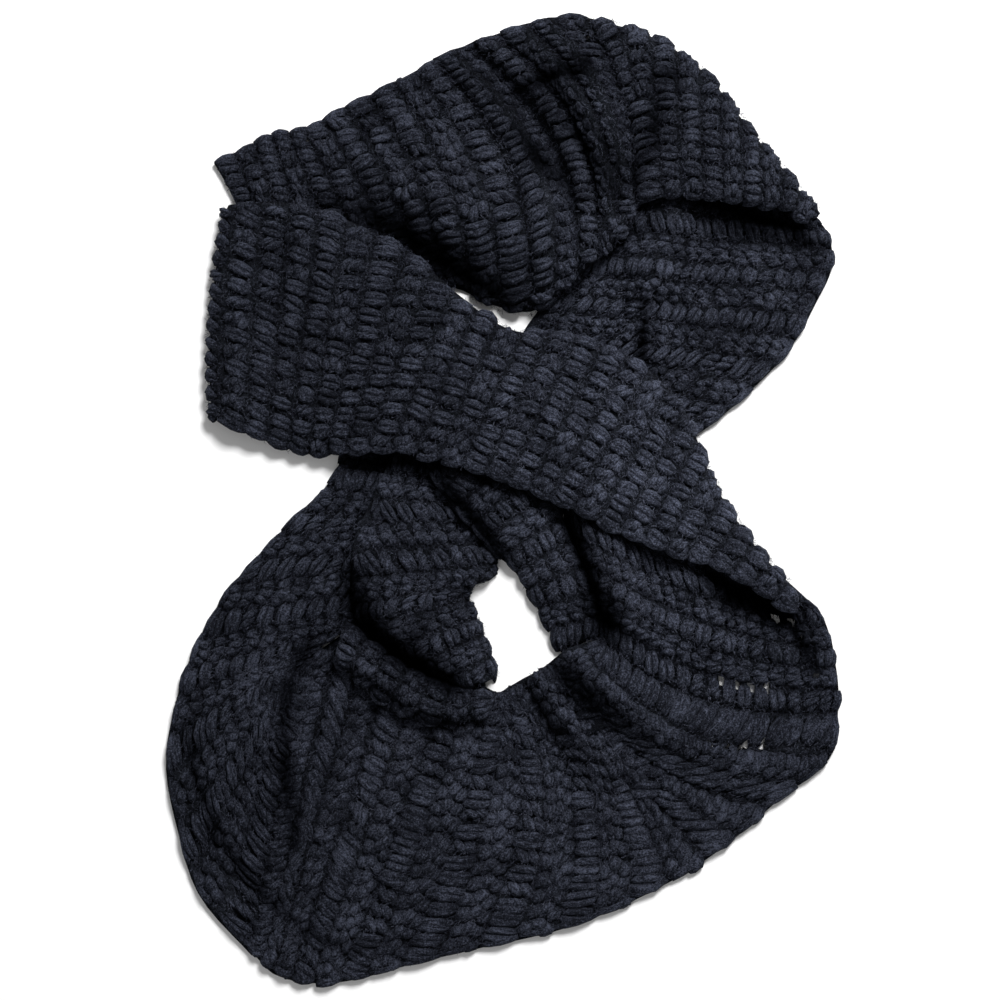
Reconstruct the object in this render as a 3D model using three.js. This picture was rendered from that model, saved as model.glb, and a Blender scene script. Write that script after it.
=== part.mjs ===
// Crocheted infinity scarf, one closed band laid flat in a figure eight.
// Millimetres, +Z up, origin on the surface under the middle of the scarf.

import * as THREE from "three";

// Driving dimensions of the cloth
const CLOTH_THICKNESS = 5;
const ROW_HEIGHT = 14.3;
const ROW_RIDGE = 1.2;
const SELVEDGE_SCALLOP = 1.2;
const SEAM_GAP = 0.5;
const REST_GAP = 0.5;
const HALF_CLOTH = CLOTH_THICKNESS / 2;
const RIDGE_FADE = 0.12;
const CURL_RADIUS = 7;
const STEPS_ACROSS = 13;
const STEPS_PER_ROW = 2;
const SLOPE_STEP = 0.5;

// Yarn
const YARN_COLOUR = 0x25262f;
const YARN_ROUGHNESS = 0.95;

// Each stretch of the band is a table with one line for each section across the band.
// x and y place the inner and outer edge, bow bends the section sideways in between,
// z is the height of the cloth's middle, and drop is how far an edge curls down.
const SECTION_COLUMNS = [
  "innerX", "innerY", "outerX", "outerY", "bow",
  "innerZ", "middleZ", "outerZ", "innerDrop", "outerDrop",
];

const frontStretch = sections([
  [-162, 50, -154, 164, 5, 2.5, 2.5, 2.5, 0, 0],
  [-167, 46, -158.5, 166, 4.5, 6.3, 6.3, 6.3, 0, 0],
  [-161, 44, -154, 167, 4, 10, 10, 10, 0, 0],
  [-138, 34.5, -126, 168, 0, 9, 11, 10.5, 2, 1.5],
  [-112, 26, -90, 158, 0, 8, 13, 12, 3, 2],
  [-88, 26, -54, 139, 0, 12, 15, 14, 2, 2],
  [-62, 27, -27, 116, 0, 16.5, 17, 15, 1, 3],
  [-31, 20, 3, 96, 0, 18, 18, 16, 1, 7],
  [4, 10, 43, 90, 0, 18.5, 19, 18, 1, 4],
  [35, -3, 78, 75, 0, 19, 20.5, 19, 1, 2],
  [67, -19, 103, 49, 0, 20, 21, 18, 1, 5],
  [97, -31, 119.5, 9, 0, 20, 20, 17, 1, 13],
  [125, -41, 140.5, -24, 0, 18, 18, 16, 1, 11],
  [149, -54, 158, -44, 0, 14, 14, 13, 1, 5],
  [166, -65, 173, -58, 0, 10.5, 10.5, 10, 0, 1],
]);

const upperLeftStretch = sections([
  [-150, 60, -166, 192, -16, 2.5, 2.5, 2.5, 0, 0],
  [-113, 64, -139, 205, -5, 2.5, 2.5, 2.5, 0, 0],
  [-62, 96, -110, 213, -5, 2.5, 2.5, 2.5, 0, 0],
  [-31, 121, -75, 232, -8, 2.5, 2.5, 2.5, 0, 0],
  [-7, 112, -55, 242.5, -12, 7, 4, 2.5, 7, 0],
  [15, 107.5, -39, 251, -18, 9, 5, 2.5, 8, 0],
]);

const pleatedTurn = sections([
  [15, 107.5, -39, 251, -18, 9, 5, 2.5, 8, 0],
  [35, 120, -24, 257, -20, 12, 6, 3, 4, 0],
  [51, 135, -8, 263, -20, 12, 7, 3.5, 3, 0],
  [62, 144, 13, 270, -17, 13, 8, 4, 3, 0],
  [71, 157, 30, 274.5, -14, 14, 9, 5, 3, 1],
  [75, 167, 47, 275, -10, 15, 11, 7, 3, 3],
]);

const upperRightStretch = sections([
  [75, 167, 47, 275, -10, 15, 11, 7, 3, 3],
  [87, 173, 78, 267, 0, 17, 16, 14, 3, 9],
  [107, 173, 104, 252, 0, 18, 18, 16.5, 3, 13.5],
  [125, 171, 123, 233.5, 0, 18, 18, 16.5, 3, 13.5],
  [144, 169, 141.5, 209, 0, 17, 17, 16, 3, 13],
  [163, 166, 164, 183, 0, 13, 13, 13, 2, 9],
  [176, 157, 179, 163, 0, 9, 9, 9, 1, 3],
]);

const rightStretch = sections([
  [84, 210, 172, 167, 0, 2.5, 2.5, 2.5, 0, 0],
  [67, 162, 185, 152, 0, 2.5, 2.5, 2.5, 0, 0],
  [55, 143, 187, 133, 0, 2.5, 2.5, 2.5, 0, 0],
  [37, 123, 178, 113, 0, 2.5, 3, 2.5, 0, 0],
  [19, 102.5, 162, 85, 0, 2.5, 3, 2.5, 0, 0],
  [9, 86, 137, 59, 0, 2.5, 2.5, 2.5, 0, 0],
  [-2, 67, 110, 37, 0, 2.5, 2.5, 2.5, 0, 0],
  [-30, 53, 78, 23, 0, 2.5, 2.5, 2.5, 0, 0],
  [-58, 46, 46, 18, 0, 2.5, 2.5, 2.5, 0, 0],
  [-84, 40, 20, 16, 0, 2.5, 2.5, 2.5, 0, 0],
]);

const lowerRightStretch = sections([
  [50, 15, 138, -38, 0, 2.5, 2.5, 2.5, 0, 0],
  [36, -3, 175, -60, -4, 5.5, 2.5, 2.5, 0, 0],
  [41, -24, 185, -78, -8, 5, 2.5, 4, 0, 1],
  [50, -44, 188, -93, -12, 4.5, 2.5, 4, 0, 1],
  [57, -63, 190, -107, -14, 2.5, 2.5, 2.5, 0, 0],
  [55, -81, 190, -122, -16, 3, 3, 2.5, 0, 0],
]);

const bottomStretch = sections([
  [55, -81, 190, -122, -16, 3, 3, 2.5, 0, 0],
  [43, -86, 186, -148, -22, 4, 3.5, 2.5, 1, 0],
  [36, -89, 155, -173.5, -22, 5, 4, 2.5, 2, 0],
  [31, -93, 126, -198, -8, 5.5, 4, 2.5, 2, 0],
  [26, -97, 97, -217, 6, 6, 4, 2.5, 3, 0],
  [20, -101, 63, -234, 15, 5, 4, 2.5, 2, 0],
  [13, -105, 31, -246, 19, 4, 4, 2.5, 1, 0],
  [4, -110, -13, -256, 14, 2.5, 4, 2.5, 0, 0],
  [-5, -113, -51, -265, 8, 2.5, 4, 2.5, 0, 0],
  [-24, -101, -86, -274, 4, 2.5, 4, 2.5, 0, 0],
  [-47, -85, -111, -275, 2, 2.5, 4, 2.5, 0, 0],
  [-72, -66, -130, -270, 0, 2.5, 4, 2.5, 0, 0],
  [-92, -80, -137, -264, 0, 2.5, 4, 2.5, 0, 0],
  [-115, -96, -143, -258, 0, 2.5, 4, 2.5, 0, 0],
]);

const lowerLeftStretch = sections([
  [-115, -96, -143, -258, 0, 2.5, 4, 2.5, 0, 0],
  [-116, -94.5, -172, -225, 0, 2.5, 6, 3, 0, 0],
  [-115.5, -92, -184, -190, 0, 2.5, 9, 3, 0, 0],
  [-112, -89.5, -191, -153, 0, 2.5, 10, 3, 0, 0],
  [-102, -82.5, -186, -119, 0, 2.5, 9, 3, 0, 0],
  [-82.5, -67.5, -174, -85, 0, 2.5, 8, 3, 0, 0],
  [-79, -41, -153.5, -50, 0, 2.5, 6, 2.5, 0, 0],
  [-72.5, -12, -118, -11, 0, 2.5, 4, 2.5, 0, 0],
  [-64.5, 6, -98, 10, 0, 2.5, 3, 2.5, 0, 0],
  [-61, 27, -88, 34, 0, 2.5, 2.5, 2.5, 0, 0],
]);

const innerFlap = sections([
  [-61, 27, -30, 23, 0, 9.3, 4, 2.5, 0, 0],
  [-71, 4, -30, 0, 0, 9.8, 5.5, 2.5, 0, 0],
  [-82, -24, -14, -21, 0, 11, 11, 2.5, 0, 0],
  [-84, -48, -4.5, -40.5, 0, 11, 15, 8, 1, 8],
  [-84, -65, -21, -52, 0, 12, 17, 10, 3, 10],
  [-67, -80, -18, -66, 0, 13, 17, 9, 4, 9],
  [-47, -93, -13, -78, 0, 14, 16, 8, 4, 8],
  [-29, -103, -7.5, -93, 0, 13, 14, 7, 4, 7],
  [-15, -108, -5, -103, 0, 10, 10, 6, 2, 6],
]);

const flapReturn = sections([
  [-96, -90, -90, -71, 0, 12, 13, 12, 2, 2],
  [-86, -101, -79, -81, 0, 12, 14, 12, 2, 2],
  [-71, -115, -62, -93, 0, 12, 14, 12, 2, 2],
  [-52, -125, -45, -103, 0, 12, 14, 12, 2, 2],
  [-31, -128, -27, -110, 0, 12, 13, 12, 2, 2],
  [-12, -123, -10, -111, 0, 11.5, 12, 11.5, 1, 1],
  [-5, -117, -4, -111, 0, 10.5, 10.5, 10.5, 0, 0],
]);

const innerStrip = sections([
  [-46, 26, -34, 50, 0, 10, 10, 9.5, 0, 0],
  [-37, 10, -18, 36, 0, 10, 10.5, 9.5, 0, 0],
  [-22, -9, 8, 20, 0, 10, 11, 9.5, 0, 0],
  [-8, -27, 27.5, -1, 0, 8.5, 11, 8.8, 1, 0],
  [6, -38.5, 35.3, -20, 0, 6, 10, 5, 2, 2],
  [15.5, -53, 47.5, -42, 0, 5, 9, 3.5, 2, 1],
  [25.5, -70, 54.7, -62, 0, 4, 8, 2.5, 1, 0],
  [34.5, -88.5, 52.5, -79.8, 0, 2.5, 4, 2.5, 0, 0],
]);

// Folds raise or sink the cloth along a line: start and end of the line, the height
// there, and how wide the fold is to the left and to the right of its direction.
const FOLD_COLUMNS = ["fromX", "fromY", "toX", "toY", "fromHeight", "toHeight", "left", "right"];

const frontFolds = folds([
  [-120, 150, -60, 120, 2, 3, 18, 18],
  [-20, 60, 90, 0, 2, 2, 22, 22],
  [-140, 60, -70, 50, 2, 1, 18, 18],
]);

const upperFolds = folds([
  [-34, 172, 36, 138, 12, 10, 26, 17],
  [-66, 224, -28, 176, 3, 4, 8, 8],
  [-72, 188, -24, 150, 4, 9, 16, 8],
  [110, 215, 150, 180, 2, 2, 16, 16],
]);

const rightFolds = folds([
  [100, 157, 92, 128, 8, 12, 7, 22],
  [92, 128, 86, 102, 12, 7, 7, 26],
  [150, 125, 130, 90, 3, 2, 18, 18],
]);

const lowerFolds = folds([
  [113, -42, 121, -74, 9, 14, 7, 24],
  [54, -22, 68, -66, 11, 13, 22, 9],
  [93, -60, 112, -68, -3, -3, 6, 6],
  [39, -86, 51, -108, 9, 11, 9, 9],
  [51, -108, 91, -139, 10, 3, 9, 9],
  [20, -105, 34, -127, 7, 8, 8, 8],
  [34, -127, 56, -150, 8, 2, 8, 8],
  [-20, -140, -45, -205, 1.5, 1.5, 8, 8],
  [-122, -104, -124, -200, 5, 4, 6, 14],
  [-150, -110, -160, -180, 3, 3, 14, 14],
  [-181, -134, -168, -196, -2, -2, 5, 5],
  [-168, -196, -128, -240, -2, -1, 5, 5],
]);

const flapFolds = folds([
  [-60, -40, -45, -72, 3, 2, 12, 12],
]);

// Pleats stand up along a section, at a distance along the stretch
const PLEAT_COLUMNS = ["distance", "width", "innerHeight", "middleHeight", "outerHeight"];

const turnPleats = pleats([
  [13, 6, 2, 8, 4],
  [34, 6, 3, 9, 6],
  [53, 5.5, 3, 10, 5],
  [67, 5.5, 2, 8, 5],
]);

// The stretches that show. Neighbours give the slope that two stretches share at a seam.
const STRETCHES = [
  { name: "front_stretch", table: frontStretch, folds: frontFolds, across: 12 },
  { name: "upper_left_stretch", table: upperLeftStretch, folds: upperFolds, next: pleatedTurn },
  {
    name: "pleated_turn", table: pleatedTurn, folds: upperFolds, pleats: turnPleats,
    stepsPerRow: 4,
    previous: upperLeftStretch, next: upperRightStretch,
  },
  {
    name: "upper_right_stretch", table: upperRightStretch, folds: upperFolds,
    previous: pleatedTurn,
  },
  { name: "right_stretch", table: rightStretch, folds: rightFolds },
  { name: "lower_right_stretch", table: lowerRightStretch, folds: lowerFolds, next: bottomStretch },
  {
    name: "bottom_stretch", table: bottomStretch, folds: lowerFolds,
    previous: lowerRightStretch, next: lowerLeftStretch,
  },
  {
    name: "lower_left_stretch", table: lowerLeftStretch, folds: lowerFolds,
    previous: bottomStretch,
  },
  { name: "inner_flap", table: innerFlap, folds: flapFolds, across: 8 },
  { name: "flap_return", table: flapReturn, folds: folds([]), across: 5 },
  { name: "inner_strip", table: innerStrip, folds: folds([]), across: 7 },
];

function withColumns(columns, lines) {
  return lines.map((line) => Object.fromEntries(columns.map((name, i) => [name, line[i]])));
}

function sections(lines) {
  return withColumns(SECTION_COLUMNS, lines);
}

function folds(lines) {
  return withColumns(FOLD_COLUMNS, lines);
}

function pleats(lines) {
  return withColumns(PLEAT_COLUMNS, lines);
}

// Distance between the middles of two sections
function sectionSpacing(a, b) {
  const dx = (b.innerX + b.outerX - a.innerX - a.outerX) / 2;
  const dy = (b.innerY + b.outerY - a.innerY - a.outerY) / 2;
  const dz = b.middleZ - a.middleZ;
  return Math.hypot(dx, dy, dz);
}

// Sections in order, each with its distance along the stretch. The neighbours'
// sections next to the seams are added before and after to set the slope there.
function trackOf(stretch) {
  const { table, previous, next } = stretch;
  const before = previous ? [previous[previous.length - 2]] : [];
  const after = next ? [next[1]] : [];
  const rows = [...before, ...table, ...after];
  const distances = [0];
  for (let i = 1; i < rows.length; i += 1) {
    distances.push(distances[i - 1] + sectionSpacing(rows[i - 1], rows[i]));
  }
  const start = distances[before.length];
  const end = distances[rows.length - 1 - after.length];
  return { rows, distances, start, end };
}

// Smooth curve through one column of the table, at a distance along the stretch
function columnAt(track, name, distance) {
  const { rows, distances } = track;
  const last = rows.length - 1;
  let i = 0;
  while (i < last - 1 && distance > distances[i + 1]) {
    i += 1;
  }
  const slopeAt = (k) => {
    const a = Math.max(k - 1, 0);
    const b = Math.min(k + 1, last);
    return (rows[b][name] - rows[a][name]) / (distances[b] - distances[a]);
  };
  const span = distances[i + 1] - distances[i];
  const t = (distance - distances[i]) / span;
  const t2 = t * t;
  const t3 = t2 * t;
  return (
    (2 * t3 - 3 * t2 + 1) * rows[i][name]
    + (t3 - 2 * t2 + t) * span * slopeAt(i)
    + (3 * t2 - 2 * t3) * rows[i + 1][name]
    + (t3 - t2) * span * slopeAt(i + 1)
  );
}

function sectionAt(track, distance) {
  const section = {};
  for (const name of SECTION_COLUMNS) {
    section[name] = columnAt(track, name, distance);
  }
  return section;
}

// Height that the folds add at a place: ridges blend into each other, troughs sink
function foldHeight(list, x, y) {
  let ridges = 0;
  let troughs = 0;
  for (const fold of list) {
    const ax = fold.toX - fold.fromX;
    const ay = fold.toY - fold.fromY;
    const length = Math.hypot(ax, ay);
    const px = x - fold.fromX;
    const py = y - fold.fromY;
    const along = (px * ax + py * ay) / (length * length);
    const t = Math.min(Math.max(along, 0), 1);
    const distance = Math.hypot(px - ax * t, py - ay * t);
    const side = distance > 0 ? (ax * py - ay * px) / length / distance : 0;
    const spread = fold.right + (fold.left - fold.right) * (1 + side) / 2;
    const height = fold.fromHeight + (fold.toHeight - fold.fromHeight) * t;
    const value = height * Math.exp(-((distance / spread) ** 2));
    if (value > 0) {
      ridges += value * value;
    } else {
      troughs += value;
    }
  }
  return Math.sqrt(ridges) + troughs;
}

// Value that runs smoothly through three heights across a section
function acrossSection(inner, middle, outer, share) {
  return inner * (1 - share) * (1 - 2 * share)
    + middle * 4 * share * (1 - share)
    + outer * share * (2 * share - 1);
}

// Height that the pleats add at a distance along the stretch
function pleatHeight(list, distance, share) {
  let height = 0;
  for (const pleat of list) {
    const fade = Math.exp(-(((distance - pleat.distance) / pleat.width) ** 2));
    const top = acrossSection(pleat.innerHeight, pleat.middleHeight, pleat.outerHeight, share);
    height += top * fade;
  }
  return height;
}

// Angle of an edge's curl that brings it down by the drop
function curlAngle(drop, radius) {
  return Math.acos(1 - Math.min(Math.max(drop, 0), 2 * radius) / radius);
}

// Plan distance that a curl takes up inside the edge's outline
function curlInset(angle, radius) {
  return radius * Math.sin(Math.min(angle, Math.PI / 2));
}

// Point of the cloth's middle surface: share runs from the inner to the outer edge
function pointOn(stretch, section, distance, share) {
  const radius = CURL_RADIUS;
  const dx = section.outerX - section.innerX;
  const dy = section.outerY - section.innerY;
  const width = Math.hypot(dx, dy);
  const innerAngle = curlAngle(section.innerDrop, radius);
  const outerAngle = curlAngle(section.outerDrop, radius);
  const innerArc = radius * innerAngle;
  const outerArc = radius * outerAngle;
  const innerFlat = curlInset(innerAngle, radius);
  const outerFlat = width - curlInset(outerAngle, radius);
  const flat = Math.max(outerFlat - innerFlat, 0);
  const travelled = share * (innerArc + flat + outerArc);
  let place = innerFlat + travelled - innerArc;
  let sink = 0;
  if (travelled < innerArc) {
    const angle = innerAngle - travelled / radius;
    place = innerFlat - radius * Math.sin(angle);
    sink = radius * (1 - Math.cos(angle));
  } else if (travelled > innerArc + flat) {
    const angle = (travelled - innerArc - flat) / radius;
    place = innerFlat + flat + radius * Math.sin(angle);
    sink = radius * (1 - Math.cos(angle));
  }
  const w = place / width;
  const sideways = section.bow * 4 * w * (1 - w) / width;
  const x = section.innerX + dx * w - dy * sideways;
  const y = section.innerY + dy * w + dx * sideways;
  const base = acrossSection(section.innerZ, section.middleZ, section.outerZ, w);
  const raised = foldHeight(stretch.folds, x, y) + pleatHeight(stretch.pleats ?? [], distance, w);
  return new THREE.Vector3(x, y, base + raised - sink);
}

// Row ridges and selvedge scallops, as a share of their full height
function rowSwell(step, stepsPerRow) {
  return Math.sin(Math.PI * (step % stepsPerRow) / stepsPerRow);
}

// Points across the cloth's middle surface at a distance along the stretch
function lineAt(stretch, track, distance, across) {
  const section = sectionAt(track, distance);
  const line = [];
  for (let j = 0; j <= across; j += 1) {
    line.push(pointOn(stretch, section, distance - track.start, j / across));
  }
  return line;
}

// Undersides that come this close to the resting surface lie flat on it
function restedHeight(z) {
  return z < REST_GAP ? 0 : z;
}

// Closed wall of cloth: its outer points stand on the middle surface with the row
// ridges, its inner points are plain, and neither goes below the resting surface.
function clothGeometry(stretch) {
  const track = trackOf(stretch);
  const { stepsPerRow = STEPS_PER_ROW, across = STEPS_ACROSS } = stretch;
  const rows = Math.max(Math.round((track.end - track.start) / ROW_HEIGHT), 1);
  const steps = rows * stepsPerRow;
  const from = track.start + SEAM_GAP / 2;
  const length = track.end - track.start - SEAM_GAP;
  const top = [];
  const under = [];
  const along = new THREE.Vector3();
  const sideways = new THREE.Vector3();
  const normal = new THREE.Vector3();
  for (let i = 0; i <= steps; i += 1) {
    const distance = from + length * i / steps;
    const line = lineAt(stretch, track, distance, across);
    const behind = lineAt(stretch, track, distance - SLOPE_STEP, across);
    const ahead = lineAt(stretch, track, distance + SLOPE_STEP, across);
    const swell = rowSwell(i, stepsPerRow);
    for (let j = 0; j <= across; j += 1) {
      along.subVectors(ahead[j], behind[j]);
      sideways.subVectors(line[Math.min(j + 1, across)], line[Math.max(j - 1, 0)]).normalize();
      normal.crossVectors(along, sideways).normalize();
      const edge = Math.min(j, across - j) / across;
      const ridge = ROW_RIDGE * swell * Math.min(edge / RIDGE_FADE, 1);
      const outward = (j === 0 ? -1 : 0) + (j === across ? 1 : 0);
      sideways.multiplyScalar(SELVEDGE_SCALLOP * swell * outward);
      const upper = line[j].clone().addScaledVector(normal, HALF_CLOTH + ridge).add(sideways);
      const lower = line[j].clone().addScaledVector(normal, -HALF_CLOTH).add(sideways);
      upper.z = Math.max(upper.z, 0);
      lower.z = restedHeight(lower.z);
      top.push(upper);
      under.push(lower);
    }
  }
  return closedGrid(top, under, steps, across);
}

// Triangles of a closed wall between two grids of points
function closedGrid(top, under, steps, across) {
  const points = [...top, ...under];
  const size = across + 1;
  const offset = top.length;
  const faces = [];
  const quad = (a, b, c, d) => faces.push(a, b, c, a, c, d);
  for (let i = 0; i < steps; i += 1) {
    for (let j = 0; j < across; j += 1) {
      const a = i * size + j;
      const b = a + size;
      quad(a, b, b + 1, a + 1);
      quad(offset + a, offset + a + 1, offset + b + 1, offset + b);
    }
  }
  for (let i = 0; i < steps; i += 1) {
    const a = i * size;
    const b = a + size;
    quad(a, offset + a, offset + b, b);
    quad(a + across, b + across, offset + b + across, offset + a + across);
  }
  for (let j = 0; j < across; j += 1) {
    const end = steps * size + j;
    quad(j, j + 1, offset + j + 1, offset + j);
    quad(end, offset + end, offset + end + 1, end + 1);
  }
  const geometry = new THREE.BufferGeometry();
  const positions = points.flatMap((p) => [p.x, p.y, p.z]);
  geometry.setAttribute("position", new THREE.Float32BufferAttribute(positions, 3));
  geometry.setIndex(faces);
  geometry.computeVertexNormals();
  return geometry;
}

function yarnMaterial() {
  return new THREE.MeshStandardMaterial({
    color: YARN_COLOUR,
    roughness: YARN_ROUGHNESS,
    metalness: 0,
  });
}

const scarf = new THREE.Group();
for (const stretch of STRETCHES) {
  const mesh = new THREE.Mesh(clothGeometry(stretch), yarnMaterial());
  mesh.name = stretch.name;
  scarf.add(mesh);
}

export default scarf;
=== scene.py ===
import math

import bpy
import numpy as np
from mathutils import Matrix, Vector


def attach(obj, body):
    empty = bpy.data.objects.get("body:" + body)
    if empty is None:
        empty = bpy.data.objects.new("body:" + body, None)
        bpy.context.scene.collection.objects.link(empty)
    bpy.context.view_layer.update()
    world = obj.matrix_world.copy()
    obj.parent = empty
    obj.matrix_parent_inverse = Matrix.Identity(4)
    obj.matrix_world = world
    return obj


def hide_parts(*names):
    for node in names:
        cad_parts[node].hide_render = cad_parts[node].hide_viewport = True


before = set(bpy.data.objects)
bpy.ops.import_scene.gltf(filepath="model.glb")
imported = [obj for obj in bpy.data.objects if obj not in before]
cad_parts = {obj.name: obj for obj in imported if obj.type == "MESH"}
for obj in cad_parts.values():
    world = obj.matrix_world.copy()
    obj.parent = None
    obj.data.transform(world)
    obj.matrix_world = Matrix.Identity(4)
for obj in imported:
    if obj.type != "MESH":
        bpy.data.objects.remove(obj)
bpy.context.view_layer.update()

MM = 0.001

# The cloth, as in the solids
ROW_HEIGHT = 14.3
STITCH_PITCH = 9.5
BAND_WIDTH = 132.0
CURL_RADIUS = 7.0

# The grid of the cloth's middle surface: step along it, and how many steps across it
GRID_STEP = 2.4
GRID_ACROSS = 56

# The ground, a thin cloth in the middle of the wall: half its thickness, its steps across,
# and how far it reaches past the edges
GROUND_HALF = 0.5
GROUND_ACROSS = 34
GROUND_OVERHANG = 2.0
FLOOR_GAP = 0.1

# Stitches. Rows that crowd to less than a share of their height share one cell, by fours
# or by twos. A cell is left out under a share of the pitch, and a row's last cell is full
# up to another share.
CROWDED_ROWS = ((4, 0.3), (2, 0.6))
LEAST_CELL = 0.3
FULL_CELL = 1.42
ROW_GROOVE = 1.5
# Painted shade towards the lines between rows, as a share of the light
ROW_PAINTED_SHADE = 0.42
YARN_LUMPS = 0.14

# A strand's form: how much of its cell's size it takes on, the least squareness of a cell
# that it keeps its own form in, and the chance in its size, place and turn
BREADTH_RANGE = (0.7, 1.2)
LENGTH_RANGE = (0.55, 1.5)
LEAST_SQUARE = 0.15
SIZE_CHANCE = 0.07
PLACE_CHANCE = 0.5
TURN_CHANCE = 0.11

# Loose fibres stand off the stitches, and felt lies on the strands
FIBRES_PER_STITCH = 56
FIBRE_WIDTH = 0.26
FIBRE_LENGTHS = (1.8, 4.6)
FIBRE_ROOTS = (1.2, 2.6)
FIBRE_LEANS = (0.25, 0.8)
FIBRE_BEND = 0.9
FIBRE_DROOP = 0.45
FIBRE_MIDDLE = 0.55
FELT_PER_STITCH = 150
FELT_WIDTH = 0.3
FELT_LENGTHS = (1.0, 2.6)
FELT_LEANS = (0.05, 0.6)
FELT_FACING = -0.1
FELT_TONE = 4.0
SEED = 11

# The wool's colour pattern: sizes, shares and strengths, with distances in metres
SPECKLE_SCALE = 1000.0
SPECKLE_SHARE = 0.72
STREAK_STRETCH = (0.22, 7.0, 1.0)
STREAK_SCALE = 1.6
STREAK_SHARE = 0.28
PATCH_SCALE = 60.0
PATCH_STRENGTH = 0.17
TONE_STRENGTH = 0.011
COLOUR_PLACES = (0.43, 0.51, 0.575)
# Painted shade: reach and rays of the occlusion that darkens gaps and hollows
HOLLOW_REACH = 0.014
HOLLOW_RAYS = 4
GLOSS = 0.04
ROUGHNESS = 1.05
SPECKLE_POLISH = -0.3
BUMP_STRENGTH = 0.9
SHEEN_ROUGHNESS = 0.45
SHEEN_TINT = (0.42, 0.47, 0.62, 1)

# Light, floor and camera, in metres
KEY_LIGHT = dict(location=(0.6, 1.4, 1.5), size=0.7, power=74)
FILL_LIGHT = dict(location=(-0.8, -1.0, 2.0), size=1.8, power=5.5)
STUDIO_LIGHT = 0.26
FLOOR_REACH = 3.0
FLOOR_COLOUR = (0.92, 0.92, 0.92)
FLOOR_ROUGHNESS = 0.9
CAMERA_RISE = math.radians(89)
CAMERA_DISTANCE = 1.3
SENSOR_WIDTH = 36
VIEW_WIDTH = 0.5714
VIEW_CENTRE = Vector((-0.0017, -0.0014, 0.008))

# Sections across each stretch: edges in plan, sideways bow, heights, and how far the
# edges curl down
SECTION_COLUMNS = (
    "inner_x", "inner_y", "outer_x", "outer_y", "bow",
    "inner_z", "middle_z", "outer_z", "inner_drop", "outer_drop",
)

FRONT_STRETCH = (
    (-162, 50, -154, 164, 5, 2.5, 2.5, 2.5, 0, 0),
    (-167, 46, -158.5, 166, 4.5, 6.3, 6.3, 6.3, 0, 0),
    (-161, 44, -154, 167, 4, 10, 10, 10, 0, 0),
    (-138, 34.5, -126, 168, 0, 9, 11, 10.5, 2, 1.5),
    (-112, 26, -90, 158, 0, 8, 13, 12, 3, 2),
    (-88, 26, -54, 139, 0, 12, 15, 14, 2, 2),
    (-62, 27, -27, 116, 0, 16.5, 17, 15, 1, 3),
    (-31, 20, 3, 96, 0, 18, 18, 16, 1, 7),
    (4, 10, 43, 90, 0, 18.5, 19, 18, 1, 4),
    (35, -3, 78, 75, 0, 19, 20.5, 19, 1, 2),
    (67, -19, 103, 49, 0, 20, 21, 18, 1, 5),
    (97, -31, 119.5, 9, 0, 20, 20, 17, 1, 13),
    (125, -41, 140.5, -24, 0, 18, 18, 16, 1, 11),
    (149, -54, 158, -44, 0, 14, 14, 13, 1, 5),
    (166, -65, 173, -58, 0, 10.5, 10.5, 10, 0, 1),
)

UPPER_LEFT_STRETCH = (
    (-150, 60, -166, 192, -16, 2.5, 2.5, 2.5, 0, 0),
    (-113, 64, -139, 205, -5, 2.5, 2.5, 2.5, 0, 0),
    (-62, 96, -110, 213, -5, 2.5, 2.5, 2.5, 0, 0),
    (-31, 121, -75, 232, -8, 2.5, 2.5, 2.5, 0, 0),
    (-7, 112, -55, 242.5, -12, 7, 4, 2.5, 7, 0),
    (15, 107.5, -39, 251, -18, 9, 5, 2.5, 8, 0),
)

PLEATED_TURN = (
    (15, 107.5, -39, 251, -18, 9, 5, 2.5, 8, 0),
    (35, 120, -24, 257, -20, 12, 6, 3, 4, 0),
    (51, 135, -8, 263, -20, 12, 7, 3.5, 3, 0),
    (62, 144, 13, 270, -17, 13, 8, 4, 3, 0),
    (71, 157, 30, 274.5, -14, 14, 9, 5, 3, 1),
    (75, 167, 47, 275, -10, 15, 11, 7, 3, 3),
)

UPPER_RIGHT_STRETCH = (
    (75, 167, 47, 275, -10, 15, 11, 7, 3, 3),
    (87, 173, 78, 267, 0, 17, 16, 14, 3, 9),
    (107, 173, 104, 252, 0, 18, 18, 16.5, 3, 13.5),
    (125, 171, 123, 233.5, 0, 18, 18, 16.5, 3, 13.5),
    (144, 169, 141.5, 209, 0, 17, 17, 16, 3, 13),
    (163, 166, 164, 183, 0, 13, 13, 13, 2, 9),
    (176, 157, 179, 163, 0, 9, 9, 9, 1, 3),
)

RIGHT_STRETCH = (
    (84, 210, 172, 167, 0, 2.5, 2.5, 2.5, 0, 0),
    (67, 162, 185, 152, 0, 2.5, 2.5, 2.5, 0, 0),
    (55, 143, 187, 133, 0, 2.5, 2.5, 2.5, 0, 0),
    (37, 123, 178, 113, 0, 2.5, 3, 2.5, 0, 0),
    (19, 102.5, 162, 85, 0, 2.5, 3, 2.5, 0, 0),
    (9, 86, 137, 59, 0, 2.5, 2.5, 2.5, 0, 0),
    (-2, 67, 110, 37, 0, 2.5, 2.5, 2.5, 0, 0),
    (-30, 53, 78, 23, 0, 2.5, 2.5, 2.5, 0, 0),
    (-58, 46, 46, 18, 0, 2.5, 2.5, 2.5, 0, 0),
    (-84, 40, 20, 16, 0, 2.5, 2.5, 2.5, 0, 0),
)

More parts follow.
